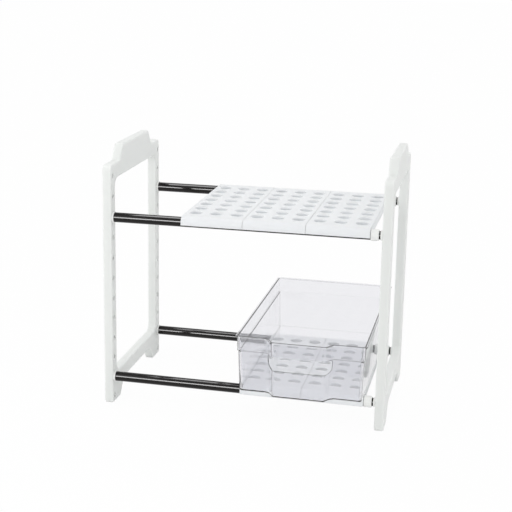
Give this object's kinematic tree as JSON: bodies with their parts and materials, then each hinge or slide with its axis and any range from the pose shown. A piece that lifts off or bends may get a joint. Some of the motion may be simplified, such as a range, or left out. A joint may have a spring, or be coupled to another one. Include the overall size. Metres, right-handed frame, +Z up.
{
  "type": "under sink organizer",
  "caption": "Extending two-tier rack for under a sink: end frames with peg sockets, telescopic rails, drop-on shelf panels and a clear pull-out bin.",
  "frame": {"origin": "on the floor, at the middle of the rack's length and depth with its tubes pushed in", "axes": "+X along the tubes from the left end frame to the right one, +Y to the back, +Z up"},
  "size_m": [0.464, 0.367, 0.428],
  "materials": {
    "frame_white": "satin",
    "panel_white": "satin",
    "cap_white": "semi-gloss",
    "guide_plastic": "plain",
    "tube_black": "glossy black powder coat",
    "bin_clear": "clear, polished"
  },
  "bodies": {
    "left_end": {"left_end_frame": "frame_white", "outer_tube_upper_front": "tube_black", "outer_tube_upper_rear": "tube_black", "outer_tube_lower_front": "tube_black", "outer_tube_lower_rear": "tube_black", "collar_upper_front": "cap_white", "collar_upper_rear": "cap_white", "collar_lower_front": "cap_white", "collar_lower_rear": "cap_white", "left_cap_upper_front": "cap_white", "left_cap_upper_rear": "cap_white", "left_cap_lower_front": "cap_white", "left_cap_lower_rear": "cap_white"},
    "right_end": {"right_end_frame": "frame_white", "inner_tube_upper_front": "tube_black", "inner_tube_upper_rear": "tube_black", "inner_tube_lower_front": "tube_black", "inner_tube_lower_rear": "tube_black", "right_cap_upper_front": "cap_white", "right_cap_upper_rear": "cap_white", "right_cap_lower_front": "cap_white", "right_cap_lower_rear": "cap_white", "guide_upper_front": "guide_plastic", "guide_upper_rear": "guide_plastic", "guide_lower_front": "guide_plastic", "guide_lower_rear": "guide_plastic"},
    "upper_left_shelf": {"upper_panel_left": "panel_white"},
    "upper_middle_shelf": {"upper_panel_middle": "panel_white"},
    "upper_right_shelf": {"upper_panel_right": "panel_white"},
    "lower_left_shelf": {"lower_panel_left": "panel_white"},
    "lower_right_shelf": {"lower_panel_right": "panel_white"},
    "pull_out_bin": {"bin": "bin_clear"}
  },
  "joints": [
    {"name": "extend", "type": "slide", "parent": "left_end", "child": "right_end", "axis": [1, 0, 0], "range_m": [0, 0.29]},
    {"name": "lift_upper_left", "type": "slide", "parent": "left_end", "child": "upper_left_shelf", "axis": [0, 0, 1], "range_m": [0, 0.06]},
    {"name": "lift_upper_middle", "type": "slide", "parent": "left_end", "child": "upper_middle_shelf", "axis": [0, 0, 1], "range_m": [0, 0.06]},
    {"name": "lift_upper_right", "type": "slide", "parent": "left_end", "child": "upper_right_shelf", "axis": [0, 0, 1], "range_m": [0, 0.06]},
    {"name": "slide_lower_right", "type": "slide", "parent": "left_end", "child": "lower_right_shelf", "axis": [-1, 0, 0], "range_m": [0, 0.2]},
    {"name": "slide_lower_left", "type": "slide", "parent": "left_end", "child": "lower_left_shelf", "axis": [-1, 0, 0], "range_m": [0, 0.2]},
    {"name": "pull_bin", "type": "slide", "parent": "lower_right_shelf", "child": "pull_out_bin", "axis": [0, -1, 0], "range_m": [0, 0.25]}
  ],
  "couplings": [
    {"joint": "slide_lower_left", "follows": "slide_lower_right", "ratio": 1}
  ]
}
